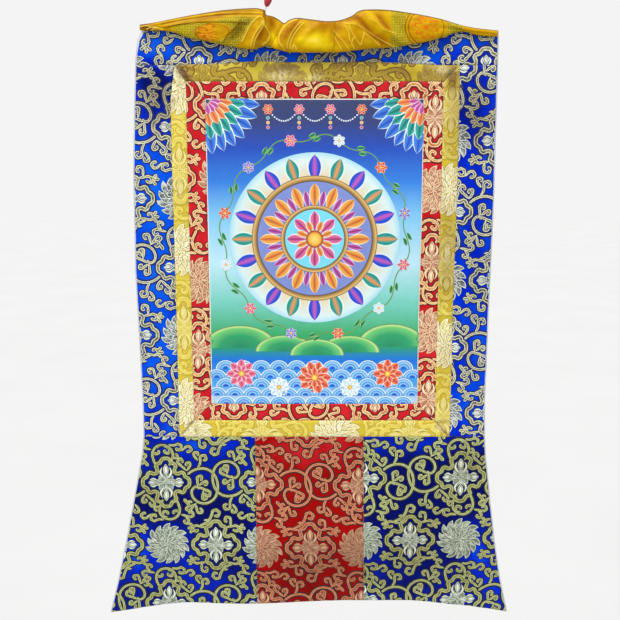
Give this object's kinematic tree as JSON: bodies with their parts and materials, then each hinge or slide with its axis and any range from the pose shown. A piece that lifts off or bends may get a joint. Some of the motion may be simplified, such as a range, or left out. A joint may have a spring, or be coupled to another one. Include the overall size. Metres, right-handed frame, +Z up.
{
  "type": "thangka scroll painting",
  "caption": "Hanging scroll: a painted canvas in red and gold brocade borders on a blue brocade ground with a flared three-panel skirt and a gathered yellow veil.",
  "frame": {"origin": "middle of the brocade's top edge, in the middle of its thickness", "axes": "+Z up along the hanging cloth, +X to the viewer's right, the painted front faces -Y"},
  "size_m": [0.8483, 0.0333, 1.3048],
  "materials": {
    "canvas": "painted cotton canvas, matte",
    "red_brocade": "satin brocade with gold thread scrollwork",
    "gold_brocade": "satin brocade, gold on gold",
    "blue_brocade": "satin brocade with silver-gold thread scrollwork",
    "lining": "plain weave cotton",
    "silk": "thin printed satin",
    "cord": "silky twisted cord"
  },
  "bodies": {
    "root": {"picture_panel": "canvas", "red_border_left": "red_brocade", "red_border_right": "red_brocade", "red_border_top": "red_brocade", "red_border_bottom": "red_brocade", "gold_border_left": "gold_brocade", "gold_border_right": "gold_brocade", "gold_border_top": "gold_brocade", "gold_border_bottom": "gold_brocade", "blue_top_strip": "blue_brocade", "blue_side_left": "blue_brocade", "blue_side_right": "blue_brocade", "skirt_left": "blue_brocade", "skirt_right": "blue_brocade", "skirt_centre": "red_brocade", "lining": "lining", "veil": "silk", "hanging_thread": "cord", "hanging_knot": "cord", "hanging_loop": "cord"}
  },
  "joints": []
}
